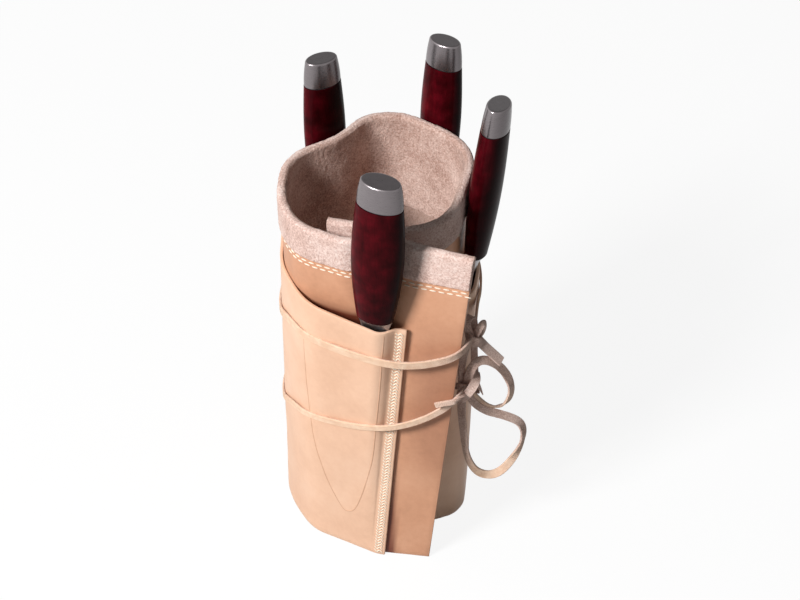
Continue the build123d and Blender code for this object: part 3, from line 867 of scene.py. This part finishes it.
# The knives: a steel bolster, a grip of polished burgundy wood, a thin black spacer and a domed steel
# cap, threaded on the blade's tang. The solids hold the true shape, and only their finish is made here.
def facing_parts(tree):
    """The parts of the direction that a surface faces."""
    made = node(tree, "ShaderNodeSeparateXYZ")
    tree.links.new(node(tree, "ShaderNodeNewGeometry").outputs["Normal"], made.inputs[0])
    return made


def stretched(tree, place, scale):
    """Places drawn out by a scale along each axis."""
    made = node(tree, "ShaderNodeMapping", Scale=scale)
    tree.links.new(place, made.inputs["Vector"])
    return made.outputs["Vector"]


def with_painted_light(tree, colour, level):
    """A colour made lighter or darker by painted light and shade."""
    made = node(tree, "ShaderNodeVectorMath", operation="SCALE")
    tree.links.new(colour, made.inputs[0])
    tree.links.new(level, made.inputs["Scale"])
    return made.outputs["Vector"]


def steel(name, tone, roughness, grain_scale, top_share=1.0):
    """Satin steel, finely brushed round the handle. Painted light and shade lie on its colour: painted
    lighter on its left side and darker on its right. Its top faces are made darker by the top share."""
    made, tree, surface, place = new_finish(name, Metallic=1)
    grain = stretched(tree, place, grain_scale)
    brushed = pattern(tree, grain, Scale=1, Detail=3, Roughness=0.6).outputs["Fac"]
    pale = tuple(part * 1.12 for part in tone)
    facing = facing_parts(tree)
    level = node(tree, "ShaderNodeMath", operation="MULTIPLY")
    # Painted light and shade: lighter where the steel faces left, darker where it faces right.
    turned = spread(tree, facing.outputs["X"], From_Min=-0.7, From_Max=0.9, To_Min=1.3, To_Max=0.55)
    upward = spread(tree, facing.outputs["Z"], From_Min=0.8, From_Max=0.93, To_Min=1.0, To_Max=top_share)
    tree.links.new(turned, level.inputs[0])
    tree.links.new(upward, level.inputs[1])
    colour = ramp(tree, brushed, ((0.35, tone), (0.7, pale)))
    tree.links.new(with_painted_light(tree, colour, level.outputs[0]), surface.inputs["Base Color"])
    satin = spread(tree, brushed, To_Min=roughness * 0.85, To_Max=roughness * 1.2)
    tree.links.new(satin, surface.inputs["Roughness"])
    bump(tree, brushed, 0.08, 0.0002, surface)
    return made


def burgundy_wood():
    """Resin-soaked wood under a glossy polish: dark wine red with streaks and mottles along the grip.
    Painted light and shade lie on its colour: painted lighter on its left side and nearly black on its
    right."""
    made, tree, surface, place = new_finish(
        "burgundy_wood", Roughness=0.3, Specular_IOR_Level=0.02,
        Coat_Weight=0.06, Coat_Roughness=0.05, Coat_IOR=1.35,
    )
    grain = stretched(tree, place, (420, 420, 60))
    streaks = pattern(tree, grain, Scale=1, Detail=6, Roughness=0.65, Distortion=0.8).outputs["Fac"]
    mottles = pattern(tree, place, Scale=95, Detail=3).outputs["Fac"]
    colour = ramp(
        tree, added(tree, streaks, 0.45, mottles),
        ((0.5, (0.018, 0.0008, 0.0015)), (0.74, (0.040, 0.0013, 0.003)), (0.95, (0.070, 0.002, 0.005))),
    )
    facing = facing_parts(tree)
    # Painted light and shade: lighter where the grip faces left, nearly black where it faces right.
    level = spread(tree, facing.outputs["X"], From_Min=-0.8, From_Max=0.6, To_Min=1.7, To_Max=0.3)
    tree.links.new(with_painted_light(tree, colour, level), surface.inputs["Base Color"])
    return made


def black_spacer():
    """The thin fibre ring between wood and steel, dyed black."""
    made, tree, surface, place = new_finish("black_spacer", Roughness=0.5)
    fibre = pattern(tree, place, Scale=900, Detail=2).outputs["Fac"]
    colour = ramp(tree, fibre, ((0.3, (0.006, 0.006, 0.007)), (0.7, (0.02, 0.019, 0.02))))
    tree.links.new(colour, surface.inputs["Base Color"])
    return made


finishes = {
    "blade": steel("blade_steel", (0.52, 0.52, 0.54), 0.22, (80, 80, 2200)),
    "bolster": steel("bolster_steel", (0.34, 0.32, 0.34), 0.30, (300, 300, 2400)),
    "handle": burgundy_wood(),
    "spacer": black_spacer(),
    # Painted reflection: the cap's steel tone is painted dark to stand in for dark surroundings reflected
    # in it.
    "end_cap": steel("cap_steel", (0.19, 0.17, 0.175), 0.28, (300, 300, 2400), 0.42),
}
for name in ("front", "right", "back", "left_back"):
    for part, finish in finishes.items():
        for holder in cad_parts[f"{name}_{part}"].material_slots:
            holder.material = finish


# The stage: a plain white floor that keeps the roll's soft shadow, a broad lamp high on the left,
# a weak one on the right and an even sky.
FLOOR_WHITE, FLOOR_BOUNCE, SKY_LIGHT = 0.9, 0.45, 0.1


def seen_directly(tree):
    """1 where the eye, a reflection or a clear material looks, and 0 where light is gathered."""
    path = node(tree, "ShaderNodeLightPath")
    first_two = node(tree, "ShaderNodeMath", operation="MAXIMUM")
    tree.links.new(path.outputs["Is Camera Ray"], first_two.inputs[0])
    tree.links.new(path.outputs["Is Glossy Ray"], first_two.inputs[1])
    all_three = node(tree, "ShaderNodeMath", operation="MAXIMUM")
    tree.links.new(first_two.outputs[0], all_three.inputs[0])
    tree.links.new(path.outputs["Is Transmission Ray"], all_three.inputs[1])
    return all_three.outputs[0]


def stage_floor():
    """A white floor: mostly plain white to the eye, with the shadow still on it."""
    bpy.ops.mesh.primitive_plane_add(size=8)
    floor = bpy.context.active_object
    floor.name = "floor"
    made = bpy.data.materials.new("floor_white")
    made.use_nodes = True
    tree = made.node_tree
    tree.nodes.clear()
    shade = node(tree, "ShaderNodeBsdfDiffuse")
    white = node(tree, "ShaderNodeEmission", Color=(1, 1, 1, 1), Strength=1)
    seen = seen_directly(tree)
    tree.links.new(spread(tree, seen, To_Min=FLOOR_BOUNCE, To_Max=1.0), shade.inputs["Color"])
    both = node(tree, "ShaderNodeMixShader")
    end = node(tree, "ShaderNodeOutputMaterial")
    tree.links.new(spread(tree, seen, To_Min=0.0, To_Max=FLOOR_WHITE), both.inputs[0])
    tree.links.new(shade.outputs[0], both.inputs[1])
    tree.links.new(white.outputs[0], both.inputs[2])
    tree.links.new(both.outputs[0], end.inputs["Surface"])
    floor.data.materials.append(made)


def lamp(name, place, aim, size, power):
    """A square soft lamp, turned towards a point."""
    light = bpy.data.lights.new(name, "AREA")
    light.size = size
    light.energy = power
    holder = bpy.data.objects.new(name, light)
    holder.location = place
    holder.rotation_euler = (Vector(aim) - Vector(place)).to_track_quat("-Z", "Y").to_euler()
    bpy.context.scene.collection.objects.link(holder)


stage_floor()
lamp("key_lamp", (-1.45, -1.25, 1.8), (0, 0, 0.15), 0.6, 77)
lamp("fill_lamp", (1.5, -1.2, 0.9), (0, 0, 0.12), 1.2, 1)
sky = bpy.data.worlds.new("sky")
bpy.context.scene.world = sky
sky.use_nodes = True
background = sky.node_tree.nodes["Background"]
background.inputs["Color"].default_value = (1, 1, 1, 1)
brightness = spread(sky.node_tree, seen_directly(sky.node_tree), To_Min=SKY_LIGHT, To_Max=1.0)
sky.node_tree.links.new(brightness, background.inputs["Strength"])
